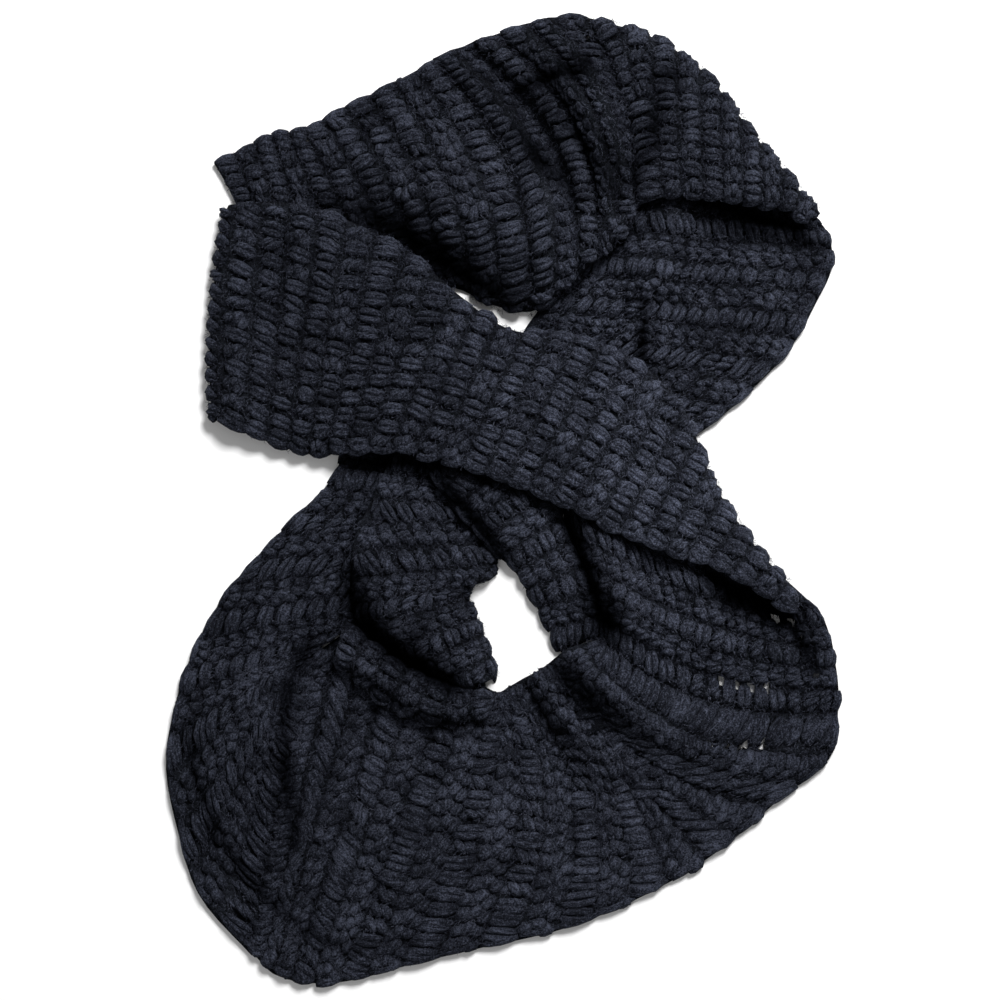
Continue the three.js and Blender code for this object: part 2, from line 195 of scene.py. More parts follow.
LOWER_RIGHT_STRETCH = (
    (50, 15, 138, -38, 0, 2.5, 2.5, 2.5, 0, 0),
    (36, -3, 175, -60, -4, 5.5, 2.5, 2.5, 0, 0),
    (41, -24, 185, -78, -8, 5, 2.5, 4, 0, 1),
    (50, -44, 188, -93, -12, 4.5, 2.5, 4, 0, 1),
    (57, -63, 190, -107, -14, 2.5, 2.5, 2.5, 0, 0),
    (55, -81, 190, -122, -16, 3, 3, 2.5, 0, 0),
)

BOTTOM_STRETCH = (
    (55, -81, 190, -122, -16, 3, 3, 2.5, 0, 0),
    (43, -86, 186, -148, -22, 4, 3.5, 2.5, 1, 0),
    (36, -89, 155, -173.5, -22, 5, 4, 2.5, 2, 0),
    (31, -93, 126, -198, -8, 5.5, 4, 2.5, 2, 0),
    (26, -97, 97, -217, 6, 6, 4, 2.5, 3, 0),
    (20, -101, 63, -234, 15, 5, 4, 2.5, 2, 0),
    (13, -105, 31, -246, 19, 4, 4, 2.5, 1, 0),
    (4, -110, -13, -256, 14, 2.5, 4, 2.5, 0, 0),
    (-5, -113, -51, -265, 8, 2.5, 4, 2.5, 0, 0),
    (-24, -101, -86, -274, 4, 2.5, 4, 2.5, 0, 0),
    (-47, -85, -111, -275, 2, 2.5, 4, 2.5, 0, 0),
    (-72, -66, -130, -270, 0, 2.5, 4, 2.5, 0, 0),
    (-92, -80, -137, -264, 0, 2.5, 4, 2.5, 0, 0),
    (-115, -96, -143, -258, 0, 2.5, 4, 2.5, 0, 0),
)

LOWER_LEFT_STRETCH = (
    (-115, -96, -143, -258, 0, 2.5, 4, 2.5, 0, 0),
    (-116, -94.5, -172, -225, 0, 2.5, 6, 3, 0, 0),
    (-115.5, -92, -184, -190, 0, 2.5, 9, 3, 0, 0),
    (-112, -89.5, -191, -153, 0, 2.5, 10, 3, 0, 0),
    (-102, -82.5, -186, -119, 0, 2.5, 9, 3, 0, 0),
    (-82.5, -67.5, -174, -85, 0, 2.5, 8, 3, 0, 0),
    (-79, -41, -153.5, -50, 0, 2.5, 6, 2.5, 0, 0),
    (-72.5, -12, -118, -11, 0, 2.5, 4, 2.5, 0, 0),
    (-64.5, 6, -98, 10, 0, 2.5, 3, 2.5, 0, 0),
    (-61, 27, -88, 34, 0, 2.5, 2.5, 2.5, 0, 0),
)

INNER_FLAP = (
    (-61, 27, -30, 23, 0, 9.3, 4, 2.5, 0, 0),
    (-71, 4, -30, 0, 0, 9.8, 5.5, 2.5, 0, 0),
    (-82, -24, -14, -21, 0, 11, 11, 2.5, 0, 0),
    (-84, -48, -4.5, -40.5, 0, 11, 15, 8, 1, 8),
    (-84, -65, -21, -52, 0, 12, 17, 10, 3, 10),
    (-67, -80, -18, -66, 0, 13, 17, 9, 4, 9),
    (-47, -93, -13, -78, 0, 14, 16, 8, 4, 8),
    (-29, -103, -7.5, -93, 0, 13, 14, 7, 4, 7),
    (-15, -108, -5, -103, 0, 10, 10, 6, 2, 6),
)

FLAP_RETURN = (
    (-96, -90, -90, -71, 0, 12, 13, 12, 2, 2),
    (-86, -101, -79, -81, 0, 12, 14, 12, 2, 2),
    (-71, -115, -62, -93, 0, 12, 14, 12, 2, 2),
    (-52, -125, -45, -103, 0, 12, 14, 12, 2, 2),
    (-31, -128, -27, -110, 0, 12, 13, 12, 2, 2),
    (-12, -123, -10, -111, 0, 11.5, 12, 11.5, 1, 1),
    (-5, -117, -4, -111, 0, 10.5, 10.5, 10.5, 0, 0),
)

INNER_STRIP = (
    (-46, 26, -34, 50, 0, 10, 10, 9.5, 0, 0),
    (-37, 10, -18, 36, 0, 10, 10.5, 9.5, 0, 0),
    (-22, -9, 8, 20, 0, 10, 11, 9.5, 0, 0),
    (-8, -27, 27.5, -1, 0, 8.5, 11, 8.8, 1, 0),
    (6, -38.5, 35.3, -20, 0, 6, 10, 5, 2, 2),
    (15.5, -53, 47.5, -42, 0, 5, 9, 3.5, 2, 1),
    (25.5, -70, 54.7, -62, 0, 4, 8, 2.5, 1, 0),
    (34.5, -88.5, 52.5, -79.8, 0, 2.5, 4, 2.5, 0, 0),
)

FRONT_FOLDS = (
    (-120, 150, -60, 120, 2, 3, 18, 18),
    (-20, 60, 90, 0, 2, 2, 22, 22),
    (-140, 60, -70, 50, 2, 1, 18, 18),
)

UPPER_FOLDS = (
    (-34, 172, 36, 138, 12, 10, 26, 17),
    (-66, 224, -28, 176, 3, 4, 8, 8),
    (-72, 188, -24, 150, 4, 9, 16, 8),
    (110, 215, 150, 180, 2, 2, 16, 16),
)

RIGHT_FOLDS = (
    (100, 157, 92, 128, 8, 12, 7, 22),
    (92, 128, 86, 102, 12, 7, 7, 26),
    (150, 125, 130, 90, 3, 2, 18, 18),
)

LOWER_FOLDS = (
    (113, -42, 121, -74, 9, 14, 7, 24),
    (54, -22, 68, -66, 11, 13, 22, 9),
    (93, -60, 112, -68, -3, -3, 6, 6),
    (39, -86, 51, -108, 9, 11, 9, 9),
    (51, -108, 91, -139, 10, 3, 9, 9),
    (20, -105, 34, -127, 7, 8, 8, 8),
    (34, -127, 56, -150, 8, 2, 8, 8),
    (-20, -140, -45, -205, 1.5, 1.5, 8, 8),
    (-122, -104, -124, -200, 5, 4, 6, 14),
    (-150, -110, -160, -180, 3, 3, 14, 14),
    (-181, -134, -168, -196, -2, -2, 5, 5),
    (-168, -196, -128, -240, -2, -1, 5, 5),
)

FLAP_FOLDS = (
    (-60, -40, -45, -72, 3, 2, 12, 12),
)

TURN_PLEATS = (
    (13, 6, 2, 8, 4),
    (34, 6, 3, 9, 6),
    (53, 5.5, 3, 10, 5),
    (67, 5.5, 2, 8, 5),
)

# Painted shade in hollows where little light gets in: half width, then places with how dark each
# one is
UPPER_HOLLOWS = (
    (9.5, ((-108, 174, 0.2), (-84, 163, 0.5), (-62, 155, 0.8), (-44, 142, 0.9),
           (-27, 131, 0.95), (-10, 121, 0.8), (7, 112, 0.5))),
    (7, ((10, 232, 0.4), (25, 240, 0.7), (46, 247, 0.5))),
    (2.5, ((27, 233, 0.3), (41, 221, 0.4), (55, 205, 0.4), (70, 187, 0.3))),
    (5, ((4, 214, 0.1), (12, 204, 0.5), (21, 193, 0.75), (31, 182, 0.5), (41, 170, 0.15))),
    (4, ((13, 236, 0.3), (27, 221, 0.4), (38, 210, 0.6), (47, 198, 0.6), (58, 184, 0.35),
         (65, 172, 0.2))),
    (6, ((94, 242, 0.35), (88, 220, 0.4), (83, 203, 0.5), (76, 180, 0.5))),
)
RIGHT_HOLLOWS = (
    (6, ((72, 168, 0.6), (87, 175, 0.8), (102, 175, 0.7), (114, 171, 0.8), (130, 166, 0.9),
         (148, 160, 0.9), (166, 155, 0.8), (176, 144, 0.4))),
    (6, ((112, 160, 0.4), (140, 155, 0.6), (162, 150, 0.4))),
    (4, ((25, 124, 0.5), (40, 129, 0.6), (52, 138, 0.65), (60, 144, 0.6), (70, 152, 0.6))),
    (3, ((84, 112, 0.15), (81, 104, 0.45), (80, 90, 0.7), (80, 74, 0.65))),
)
LOWER_HOLLOWS = (
    (5, ((-92, 21, 0.5), (-78, 20, 0.85), (-50, 20, 0.9), (-27, 16, 0.5), (1, 8, 0.5),
         (30, -2, 0.7), (58, -14, 0.5), (87, -27, 0.45), (115, -38, 0.7))),
    (4.5, ((-38, 13, 0.6), (-22, -5, 0.85), (-8, -22, 0.8), (1, -34, 0.6))),
    (5, ((16, 4, 0.5), (33, -3, 0.8), (43, -26, 0.85), (52, -52, 0.85), (56, -66, 0.9))),
    (10, ((53, -56, 0.6), (59, -71, 0.9), (66, -72, 0.3))),
    (10, ((119, -45, 0.7), (131, -55, 0.9), (148, -62, 0.9), (162, -70, 0.75))),
    (5, ((160, -67, 0.8), (171, -82, 0.7), (177, -98, 0.4))),
    (8, ((-86, -42, 0.4), (-85, -55, 0.75), (-77, -72, 0.9), (-60, -87, 0.9),
         (-42, -98, 0.9), (-28, -107, 0.7))),
    (3, ((-88, -96, 0.35), (-70, -110, 0.5), (-53, -122, 0.55), (-36, -128, 0.55),
         (-19, -123, 0.4))),
    (4, ((15, -103, 0.4), (22, -120, 0.6), (30, -131, 0.5), (40, -140, 0.3))),
    (7.5, ((29, -95, 0.5), (46, -109, 0.75), (60, -121, 0.6), (81, -138, 0.4),
           (104, -149, 0.2))),
    (5, ((-109, -80, 0.3), (-121, -104, 0.5), (-125, -138, 0.55), (-122, -173, 0.55),
         (-119, -197, 0.4))),
    (4, ((-181, -134, 0.2), (-176, -156, 0.4), (-162, -190, 0.4), (-142, -221, 0.4),
         (-113, -247, 0.35), (-85, -258, 0.25))),
)

# Painted light and shade: middle of a paler or darker area, its radius and the change
PAINTED_LIGHT_AREAS = (
    (78, 12, 62, 0.8),
    (0, 62, 60, 0.2),
    (-130, 110, 60, -0.12),
    (-90, 195, 60, -0.08),
    (110, -75, 50, 0.5),
    (20, -180, 80, 0.25),
    (60, 116, 26, 0.35),
    (130, 110, 55, 0.2),
    (0, 160, 34, 0.15),
    (35, 228, 42, -0.05),
    (-150, -150, 50, -0.05),
)

# Slits that show the floor through the cloth, open along y
SLITS = (
    (127, -72), (133, -71.5), (158, -69), (161, -74), (167, -71), (171, -80), (126, -106),
    (134, -106.5), (143, -108), (152, -107.5), (178, -102), (119, -141), (129, -142),
    (137, -142.5), (149, -142), (-112.5, 206), (48.5, 264.5),
)
SLIT_LENGTH = 1.8
SLIT_PLACES = 5
SLIT_REACH = 8

# A stretch: its sections, folds, hollows and pleats, the neighbours that share a seam with
# it, the edge from which its stitches are counted, the edges that are selvedges, and the
# flat width and length of what shows, in metres. Where they differ from the rest, it also
# has the share of its flatter rows filled with posts, the share of posts that are full like
# a bean, their lean in radians, and the ground's overhang.
STRETCHES = (
    dict(
        name="front_stretch", table=FRONT_STRETCH, folds=FRONT_FOLDS,
        filled=0.5, beans=0.65, lean=0.12, overhang=0.5,
        counted_from="inner", selvedges=("inner",), flat=(0.095, 0.400), held="folded",
    ),
    dict(
        name="upper_left_stretch", table=UPPER_LEFT_STRETCH, folds=UPPER_FOLDS,
        hollows=UPPER_HOLLOWS, after=PLEATED_TURN,
        filled=0.35, beans=0.5, lean=-0.3, overhang=0.5,
        counted_from="outer", selvedges=("outer",), flat=(0.142, 0.158), held="folded",
    ),
    dict(
        name="pleated_turn", table=PLEATED_TURN, folds=UPPER_FOLDS, hollows=UPPER_HOLLOWS,
        pleats=TURN_PLEATS, before=UPPER_LEFT_STRETCH, after=UPPER_RIGHT_STRETCH,
        filled=0.35, beans=0.5, lean=-0.1,
        counted_from="outer", selvedges=("outer",), flat=(0.150, 0.085), held="gathered",
    ),
    dict(
        name="upper_right_stretch", table=UPPER_RIGHT_STRETCH, folds=UPPER_FOLDS,
        hollows=UPPER_HOLLOWS, before=PLEATED_TURN,
        filled=0.35, beans=0.5,
        counted_from="inner", selvedges=("inner",), flat=(0.065, 0.140), held="folded",
    ),
    dict(
        name="right_stretch", table=RIGHT_STRETCH, folds=RIGHT_FOLDS, hollows=RIGHT_HOLLOWS,
        counted_from="outer", selvedges=("outer",), flat=(0.097, 0.250), held="folded",
    ),
    dict(
        name="lower_right_stretch", table=LOWER_RIGHT_STRETCH, folds=LOWER_FOLDS,
        hollows=LOWER_HOLLOWS, after=BOTTOM_STRETCH,
        counted_from="outer", selvedges=("outer",), flat=(0.132, 0.096), held="folded",
    ),
    dict(
        name="bottom_stretch", table=BOTTOM_STRETCH, folds=LOWER_FOLDS, hollows=LOWER_HOLLOWS,
        before=LOWER_RIGHT_STRETCH, after=LOWER_LEFT_STRETCH,
        beans=0.5, lean=-0.65,
        counted_from="outer", selvedges=("outer",), flat=(0.153, 0.284), held="gathered",
    ),
    dict(
        name="lower_left_stretch", table=LOWER_LEFT_STRETCH, folds=LOWER_FOLDS,
        hollows=LOWER_HOLLOWS, before=BOTTOM_STRETCH,
        beans=0.5, lean=0.3,
        counted_from="outer", selvedges=("outer",), flat=(0.067, 0.233), held="folded",
    ),
    dict(
        name="inner_flap", table=INNER_FLAP, folds=FLAP_FOLDS, hollows=LOWER_HOLLOWS,
        counted_from="outer", selvedges=("outer",), flat=(0.056, 0.150), held="folded",
    ),
    dict(
        name="flap_return", table=FLAP_RETURN, folds=(), hollows=LOWER_HOLLOWS,
        counted_from="outer", selvedges=("outer",), flat=(0.024, 0.102), held="folded",
    ),
    dict(
        name="inner_strip", table=INNER_STRIP, folds=(), hollows=LOWER_HOLLOWS,
        counted_from="outer", selvedges=("outer", "inner"), flat=(0.038, 0.150),
        held="folded",
    ),
)


# The cloth's middle surface, from the same sections and folds as the solids


def track_of(stretch):
    """Sections in order with their distance along the stretch, neighbours' ones added."""
    before = [stretch["before"][-2]] if "before" in stretch else []
    after = [stretch["after"][1]] if "after" in stretch else []
    rows = np.array([*before, *stretch["table"], *after], float)
    middle_x = (rows[:, 0] + rows[:, 2]) / 2
    middle_y = (rows[:, 1] + rows[:, 3]) / 2
    steps = np.sqrt(
        np.diff(middle_x) ** 2 + np.diff(middle_y) ** 2 + np.diff(rows[:, 6]) ** 2
    )
    distances = np.concatenate([[0.0], np.cumsum(steps)])
    start = distances[len(before)]
    end = distances[len(rows) - 1 - len(after)]
    return dict(rows=rows, distances=distances, start=start, length=end - start)


def sections_at(track, distances):
    """Smooth curves through all columns of the table, at distances along the stretch."""
    rows, places = track["rows"], track["distances"]
    last = len(rows) - 1
    i = np.clip(np.searchsorted(places, distances, side="left") - 1, 0, last - 1)
    k = np.arange(last + 1)
    a, b = np.maximum(k - 1, 0), np.minimum(k + 1, last)
    slopes = (rows[b] - rows[a]) / (places[b] - places[a])[:, None]
    span = (places[i + 1] - places[i])[..., None]
    t = (distances - places[i])[..., None] / span
    t2, t3 = t * t, t * t * t
    columns = (
        (2 * t3 - 3 * t2 + 1) * rows[i]
        + (t3 - 2 * t2 + t) * span * slopes[i]
        + (3 * t2 - 2 * t3) * rows[i + 1]
        + (t3 - t2) * span * slopes[i + 1]
    )
    return {name: columns[..., c] for c, name in enumerate(SECTION_COLUMNS)}


def fold_height(folds, x, y):
    """Height that the folds add: ridges blend into each other, troughs sink."""
    ridges = np.zeros_like(x)
    troughs = np.zeros_like(x)
    for from_x, from_y, to_x, to_y, from_height, to_height, left, right in folds:
        ax, ay = to_x - from_x, to_y - from_y
        length = math.hypot(ax, ay)
        px, py = x - from_x, y - from_y
        t = np.clip((px * ax + py * ay) / length**2, 0, 1)
        distance = np.hypot(px - ax * t, py - ay * t)
        side = (ax * py - ay * px) / length / np.maximum(distance, 1e-9)
        spread = right + (left - right) * (1 + side) / 2
        height = from_height + (to_height - from_height) * t
        value = height * np.exp(-((distance / spread) ** 2))
        if from_height + to_height > 0:
            ridges += value**2
        else:
            troughs += value
    return np.sqrt(ridges) + troughs


def across_section(inner, middle, outer, share):
    """Value that runs smoothly through three heights across a section."""
    return (
        inner * (1 - share) * (1 - 2 * share)
        + middle * 4 * share * (1 - share)
        + outer * share * (2 * share - 1)
    )


def pleat_height(pleats, distance, share):
    height = np.zeros_like(share)
    for place, width, inner, middle, outer in pleats:
        fade = np.exp(-(((distance - place) / width) ** 2))
        height += across_section(inner, middle, outer, share) * fade
    return height


def cloth_points(stretch, track, distances, shares):
    """Points of the cloth's middle surface. distances and shares have one shape."""
    s = sections_at(track, distances + track["start"])
    radius = CURL_RADIUS
    dx = s["outer_x"] - s["inner_x"]
    dy = s["outer_y"] - s["inner_y"]
    width = np.hypot(dx, dy)
    inner_angle = np.arccos(1 - np.clip(s["inner_drop"], 0, 2 * radius) / radius)
    outer_angle = np.arccos(1 - np.clip(s["outer_drop"], 0, 2 * radius) / radius)
    inner_arc, outer_arc = radius * inner_angle, radius * outer_angle
    inner_flat = radius * np.sin(np.minimum(inner_angle, math.pi / 2))
    outer_flat = width - radius * np.sin(np.minimum(outer_angle, math.pi / 2))
    flat = np.maximum(outer_flat - inner_flat, 0)
    travelled = shares * (inner_arc + flat + outer_arc)
    in_curl = inner_angle - travelled / radius
    out_curl = (travelled - inner_arc - flat) / radius
    on_inner = travelled < inner_arc
    on_outer = travelled > inner_arc + flat
    place = inner_flat + travelled - inner_arc
    place = np.where(on_inner, inner_flat - radius * np.sin(in_curl), place)
    place = np.where(on_outer, inner_flat + flat + radius * np.sin(out_curl), place)
    sink = np.where(on_inner, radius * (1 - np.cos(in_curl)), 0)
    sink = np.where(on_outer, radius * (1 - np.cos(out_curl)), sink)
    w = place / width
    sideways = s["bow"] * 4 * w * (1 - w) / width
    x = s["inner_x"] + dx * w - dy * sideways
    y = s["inner_y"] + dy * w + dx * sideways
    base = across_section(s["inner_z"], s["middle_z"], s["outer_z"], w)
    raised = fold_height(stretch["folds"], x, y)
    raised += pleat_height(stretch.get("pleats", ()), distances, w)
    return np.stack([x, y, base + raised - sink], axis=-1)


def shade_at(stretch, points):
    """Painted light and shade at points: darker in hollows, paler and darker areas over the
    cloth.
    """
    x, y = points[:, 0], points[:, 1]
    shade = np.ones(len(points))
    for middle_x, middle_y, radius, change in PAINTED_LIGHT_AREAS:
        shade += change * np.exp(-((x - middle_x) ** 2 + (y - middle_y) ** 2) / radius**2)
    # Painted shade: darker near each hollow's line
    dark = np.zeros(len(points))
    for width, line in stretch.get("hollows", ()):
        for (x0, y0, dark0), (x1, y1, dark1) in zip(line, line[1:]):
            ax, ay = x1 - x0, y1 - y0
            t = np.clip(((x - x0) * ax + (y - y0) * ay) / (ax * ax + ay * ay), 0, 1)
            distance = np.hypot(x - x0 - ax * t, y - y0 - ay * t)
            value = (dark0 + (dark1 - dark0) * t) * np.exp(-((distance / width) ** 2))
            dark = np.maximum(dark, value)
    return shade * (1 - dark) ** 2


def unit(vectors):
    lengths = np.linalg.norm(vectors, axis=-1, keepdims=True)
    return vectors / np.maximum(lengths, 1e-9)


def surface_of(stretch):
    """Fine grid of the middle surface: points, normals, directions and arc lengths."""
    track = track_of(stretch)
    steps = max(round(track["length"] / GRID_STEP), 8)
    distances = np.linspace(0, track["length"], steps + 1)
    shares = np.linspace(0, 1, GRID_ACROSS + 1)
    d, w = np.meshgrid(distances, shares, indexing="ij")
    points = cloth_points(stretch, track, d, w)
    ahead = cloth_points(stretch, track, d + 0.5, w)
    behind = cloth_points(stretch, track, d - 0.5, w)
    along = unit(ahead - behind)
    across = unit(np.gradient(points, axis=1))
    normals = unit(np.cross(along, across))
    pieces = np.linalg.norm(np.diff(points, axis=1), axis=-1)
    arcs = np.concatenate([np.zeros((steps + 1, 1)), np.cumsum(pieces, axis=1)], axis=1)
    return dict(
        length=track["length"], steps=steps, shares=shares, points=points,
        normals=normals, along=along, across=across, arcs=arcs,
    )


def on_surface(surface, distance, share, keys=("points", "normals")):
    """Values of the grid at places between its points, and a little past its edges."""
    fi = distance / surface["length"] * surface["steps"]
    fj = share * GRID_ACROSS
    i = np.clip(np.floor(fi).astype(int), 0, surface["steps"] - 1)
    j = np.clip(np.floor(fj).astype(int), 0, GRID_ACROSS - 1)
    s, t = (fi - i)[..., None], (fj - j)[..., None]
    values = []
    for key in keys:
        grid = surface[key]
        values.append(
            grid[i, j] * (1 - s) * (1 - t)
            + grid[i + 1, j] * s * (1 - t)
            + grid[i, j + 1] * (1 - s) * t
            + grid[i + 1, j + 1] * s * t
        )
    return values


# Cells, one for each stitch


def row_lines(stretch, surface):
    """Share across the band of each stitch line, at each line between two rows."""
    rows = max(round(surface["length"] / ROW_HEIGHT), 1)
    lines = np.linspace(0, surface["length"], rows + 1)
    arcs = []
    for d in lines:
        fi = d / surface["length"] * surface["steps"]
        i = min(int(fi), surface["steps"] - 1)
        arcs.append(surface["arcs"][i] * (i + 1 - fi) + surface["arcs"][i + 1] * (fi - i))
    totals = np.array([arc[-1] for arc in arcs])
    columns = math.ceil(totals.max() / STITCH_PITCH)
    table = np.zeros((rows + 1, columns + 1))
    for r, total in enumerate(totals):
        places = np.minimum(np.arange(columns + 1) * STITCH_PITCH, total)
        if stretch["counted_from"] == "outer":
            places = total - places
        table[r] = np.interp(places, arcs[r], surface["shares"])
    return lines, table, totals


def cells_of(stretch, surface):
    """Stitch cells: corner shares and distances. Where folds crowd the rows, two or
    four of them make one cell, as the rest lies down in the folds."""
    lines, table, totals = row_lines(stretch, surface)
    rows = len(lines) - 1
    edges = on_surface(surface, np.repeat(lines, table.shape[1]), table.ravel(), ("points",))
    points = edges[0].reshape(rows + 1, table.shape[1], 3)
    cells = []
    for k in range(table.shape[1] - 1):
        r = 0
        while r < rows:
            take = 1
            for more, limit in CROWDED_ROWS:
                if r + more <= rows:
                    span = points[r + more, k : k + 2] - points[r, k : k + 2]
                    gap = np.linalg.norm(span, axis=-1).mean() / more
                    if gap < limit * ROW_HEIGHT:
                        take = more
                        break
            room = np.array([totals[r], totals[r + take]]) - k * STITCH_PITCH
            wide = np.clip(room / STITCH_PITCH, 0, 1)
            if wide.mean() > LEAST_CELL:
                cells.append((r, r + take, k, room.mean() < FULL_CELL * STITCH_PITCH))
            r += take
    r0, r1, k, last = np.array(cells).T
    return dict(
        d0=lines[r0], d1=lines[r1], first=k == 0, last=last > 0, proud=r0 % 2 == 0,
        w00=table[r0, k], w01=table[r0, k + 1], w10=table[r1, k], w11=table[r1, k + 1],
    )


# Strands: paths in a cell, x across the band, y along it and z over the middle surface

# How far apart the tubes of a template, and the strands of a batch, lie in the pattern
PATTERN_STEP = 37.0
PATTERN_SPREAD = 50


def tube(path, radii, sides, flatness=1.0):
    """Closed tube along a path: vertices, triangles, and places along and around it."""
    path = np.array(path, float)
    radii = np.broadcast_to(np.array(radii, float), len(path))
    tangents = unit(np.gradient(path, axis=0))
    side = unit(np.cross(tangents, np.array([0.0, 0.0, 1.0])))
    up = np.cross(side, tangents) * flatness
    angles = -math.pi / 2 + 2 * math.pi * np.arange(sides) / sides
    ring = np.cos(angles)[:, None, None] * side + np.sin(angles)[:, None, None] * up
    points = (path + ring * radii[:, None]).transpose(1, 0, 2).reshape(-1, 3)
    travel = np.concatenate(
        [[0.0], np.cumsum(np.linalg.norm(np.diff(path, axis=0), axis=1))]
    )
    places = np.stack(
        [np.repeat(travel, sides), np.tile(np.arange(sides) / sides, len(path))], axis=1
    )
    faces = []
    for i in range(len(path) - 1):
        for j in range(sides):
            a, b = i * sides + j, i * sides + (j + 1) % sides
            c, d = a + sides, b + sides
            faces += [(a, c, d), (a, d, b)]
    end = (len(path) - 1) * sides
    for j in range(1, sides - 1):
        faces += [(0, j, j + 1), (end, end + j + 1, end + j)]
    return points, np.array(faces), places


def strands(*parts):
    """Several tubes as one template. Each has its own place in the colour pattern."""
    points, faces, places, count = [], [], [], 0
    for part in parts:
        p, f, uv = tube(*part)
        points.append(p)
        faces.append(f + count)
        places.append(uv + [PATTERN_STEP * len(points), 0])
        count += len(p)
    return dict(
        points=np.concatenate(points), faces=np.concatenate(faces),
        places=np.concatenate(places),
    )


def wrap(y, lift):
    """A turn of yarn round a post, from its left low to its right high."""
    path = [
        (1.5, y + 0.4, -0.6), (2.5, y + 1.6, 1.0 * lift), (4.1, y + 3.0, 1.9 * lift),
        (5.5, y + 4.3, 1.9 * lift), (7.0, y + 5.7, 0.9 * lift), (7.8, y + 6.9, -0.6),
    ]
    return path, (1.2, 1.8, 2.1, 2.1, 1.8, 1.2), 6


def two_legs(core_height, spread):
    """Post whose two legs bow apart, with yarn between them as high as core_height."""
    bow = spread - 0.4
    legs = [
        (
            [(4.7 + side * 0.3, 0.6, -0.5), (4.7 + side * bow, 2.9, 1.2),
             (4.7 + side * spread, 6.8, 1.9), (4.7 + side * bow, 10.6, 1.3),
             (4.7 + side * 0.3, 13.4, -0.5)],
            (1.3, 2.1, 2.3, 2.1, 1.3), 7,
        )
        for side in (-1, 1)
    ]
    shoulder = core_height * 0.6
    core = [
        (4.7, 0.6, -0.3), (4.7, 3.6, shoulder), (4.7, 7.0, core_height),
        (4.7, 10.4, shoulder), (4.7, 13.4, -0.3),
    ]
    return strands((core, (1.4, 2.4, 2.7, 2.4, 1.4), 6, 0.8), *legs)


# Posts of a proud row: full like a bean, or with legs that part like an eye. The shares
# are of all posts, and of those that are no beans.
BEAN_SHARE = 0.3
EYE_SHARE = 0.6
BEAN_POST = two_legs(1.3, 2.1)
EYE_POST = two_legs(-0.2, 2.5)

# Post of a proud row with turns of yarn round it
TWIST_POST = strands(
    (
        [(4.7, 0.6, 0.0), (4.7, 3.6, 0.3), (4.7, 7.0, 0.5), (4.7, 10.4, 0.3), (4.7, 13.2, 0.0)],
        (1.6, 2.9, 3.2, 2.9, 1.6), 6, 0.7,
    ),
    wrap(0.3, 1.0),
    wrap(4.3, 1.1),
    (
        [(4.4, 9.6, -0.2), (3.0, 11.0, 1.2), (3.6, 12.6, 0.8), (4.8, 13.6, -0.4)],
        (1.1, 1.7, 1.7, 1.1), 6,
    ),
)

# The row between shows the backs of its posts: low lumps set off from each other
LUMPS = strands(
    ([(4.7, 0.0, -0.4), (4.7, 7.1, 0.0), (4.7, 14.4, -0.4)], (4.2, 4.7, 4.2), 6, 0.55),
    (
        [(0.6, 2.9, -0.3), (2.4, 2.3, 1.1), (4.7, 2.5, 1.4), (6.7, 3.7, 0.0)],
        (1.7, 2.6, 2.7, 1.7), 6,
    ),
    (
        [(3.4, 7.2, -0.3), (5.2, 6.4, 1.1), (7.4, 6.6, 1.3), (9.4, 7.7, -0.1)],
        (1.7, 2.5, 2.6, 1.7), 6,
    ),
    (
        [(0.0, 11.3, -0.3), (2.0, 10.5, 1.0), (4.4, 10.7, 1.3), (6.4, 12.0, -0.1)],
        (1.7, 2.5, 2.6, 1.7), 6,
    ),
)

# Turning loop at the end of a row, at the edge where x is 0, and how much of the groove
# between rows it takes
LOOP_SUNK = 0.3
EDGE_LOOP = strands(
    (
        [(0.8, -0.4, 0.3), (0.2, 3.0, 0.7), (-0.2, 7.0, 0.9), (0.2, 11.0, 0.7), (0.8, 14.7, 0.3)],
        (1.9, 2.3, 2.4, 2.3, 1.9), 7,
    ),
    (
        [(2.6, 1.6, 1.2), (1.0, 4.6, 2.0), (0.9, 9.0, 2.0), (2.6, 12.6, 1.2)],
        (1.0, 1.4, 1.4, 1.0), 6,
    ),
)


def row_painted_light(v):
    """Painted shade along a stitch: the share of light is less towards the lines between rows."""
    return 1 - ROW_PAINTED_SHADE * np.clip(np.abs(2 * v - 1), 0, 1) ** 3


def points_at(surface, distance, share):
    return on_surface(surface, distance, share, ("points",))[0]


# Step in the share across the band that gives the surface's direction there
SHARE_STEP = 0.02


